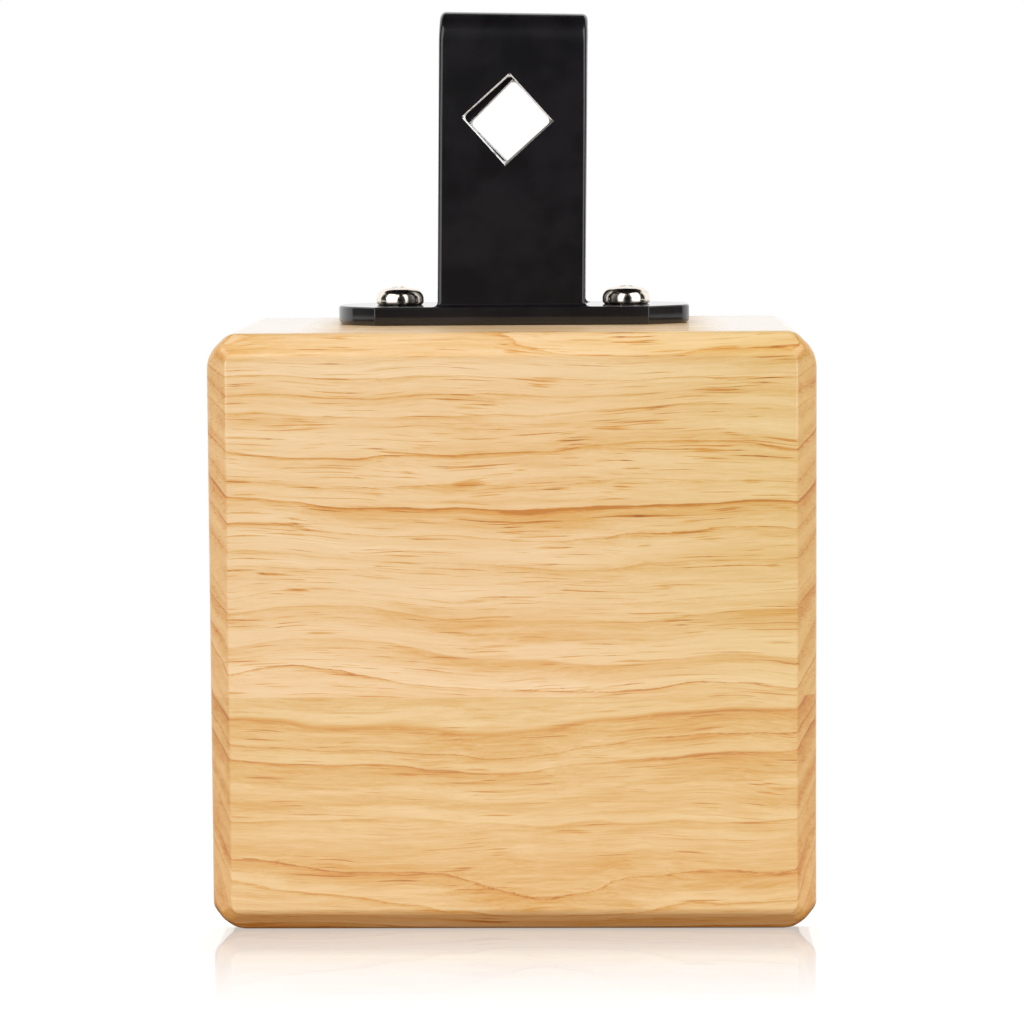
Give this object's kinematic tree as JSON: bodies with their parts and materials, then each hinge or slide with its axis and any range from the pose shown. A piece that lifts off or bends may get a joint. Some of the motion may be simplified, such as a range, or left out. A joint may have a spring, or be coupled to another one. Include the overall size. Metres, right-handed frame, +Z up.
{
  "type": "temple block",
  "caption": "Hollow wooden box block with a slot mouth in one end and a black steel rod bracket on the other, struck on its front board.",
  "frame": {"origin": "under the middle of the block, on the mouth end that it stands on", "axes": "+Z up, from the mouth end towards the rod bracket; -Y out of the struck front board; +X to the right of someone who looks at the struck board"},
  "size_m": [0.12, 0.084, 0.1827],
  "materials": {
    "upper_stave_wood": "rubberwood under clear gloss lacquer, grain along X",
    "lower_stave_wood": "rubberwood under clear gloss lacquer, more yellow, grain along X",
    "wall_wood": "rubberwood under clear gloss lacquer outside, bare inside",
    "black_coat": "satin black powder coat on steel",
    "nickel": "bright nickel plate on steel",
    "black_oxide": "black oxide on steel"
  },
  "bodies": {
    "block": {"striking_board_upper": "upper_stave_wood", "striking_board_lower": "lower_stave_wood", "back_board_upper": "upper_stave_wood", "back_board_lower": "lower_stave_wood", "left_wall": "wall_wood", "right_wall": "wall_wood", "mouth_end_wall": "wall_wood", "bracket_end_wall": "wall_wood", "mounting_plate": "black_coat", "rod_strap": "black_coat", "bracket_screw_left": "nickel", "bracket_screw_right": "nickel", "clamp_nut": "black_oxide"},
    "clamp": {"clamp_screw": "black_oxide"}
  },
  "joints": [
    {"name": "clamp_travel", "type": "slide", "parent": "block", "child": "clamp", "axis": [0, 0, 1], "range_m": [-0.007, 0]}
  ]
}
